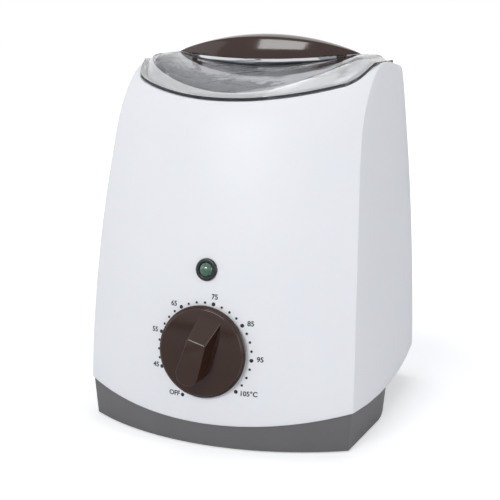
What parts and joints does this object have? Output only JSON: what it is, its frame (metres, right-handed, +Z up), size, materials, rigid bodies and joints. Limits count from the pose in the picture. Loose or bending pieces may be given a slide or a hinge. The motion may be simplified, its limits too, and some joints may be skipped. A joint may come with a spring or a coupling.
{
  "type": "wax heater",
  "caption": "Table-top wax heater: bowed upright shell on a plinth, heated round well under a clear lift-off lid, thermostat dial and pilot light.",
  "frame": {"origin": "middle of the object's bounding box in plan, on the surface that the feet stand on", "axes": "+Z up, +Y towards the back, so the dial faces -Y; +X to the right seen from the front"},
  "size_m": [0.1738, 0.1913, 0.2318],
  "materials": {
    "shell_white": "smooth glossy white moulding",
    "plinth_grey": "fine satin grey moulding",
    "foot_rubber": "matt black rubber",
    "screw_steel": "zinc-plated steel",
    "pot_aluminium": "drawn and lightly brushed aluminium",
    "heater_steel": "plain sheet steel",
    "glass_fibre": "woven glass-fibre sleeve",
    "copper": "bright copper",
    "black_plastic": "black moulded plastic",
    "lens_green": "translucent green lens",
    "lamp_holder": "natural nylon",
    "gland_rubber": "black rubber bush",
    "knob_brown": "dark brown glossy moulding",
    "lid_clear": "clear moulded plastic"
  },
  "bodies": {
    "housing": {"body_shell": "shell_white", "base_tray": "plinth_grey", "rubber_feet": "foot_rubber", "base_screws": "screw_steel", "heating_pot": "pot_aluminium", "heater_band": "heater_steel", "clamp_screw": "screw_steel", "insulation_sleeve": "glass_fibre", "pot_strap": "heater_steel", "strap_screws": "screw_steel", "strap_nut": "screw_steel", "sensor_bulb": "copper", "bulb_clip": "heater_steel", "thermal_cutout": "black_plastic", "thermostat_plate": "heater_steel", "thermostat_body": "black_plastic", "thermostat_screws": "screw_steel", "indicator_bezel": "black_plastic", "indicator_lens": "lens_green", "indicator_lamp": "lamp_holder", "cord_gland": "gland_rubber", "terminal_block": "lamp_holder", "terminal_screws": "screw_steel"},
    "dial": {"control_knob": "knob_brown", "thermostat_spindle": "screw_steel"},
    "lid_assembly": {"clear_lid": "lid_clear", "lid_handle": "knob_brown", "handle_screws": "screw_steel"}
  },
  "joints": [
    {"name": "knob_turn", "type": "hinge", "parent": "housing", "child": "dial", "pos_m": [0, -0.07892, 0.0564], "axis": [0, 0.9946, -0.1041], "range_deg": [-170.5, 119.3]},
    {"name": "lid_lift", "type": "slide", "parent": "housing", "child": "lid_assembly", "axis": [0, 0, 1], "range_m": [0, 0.07]}
  ]
}
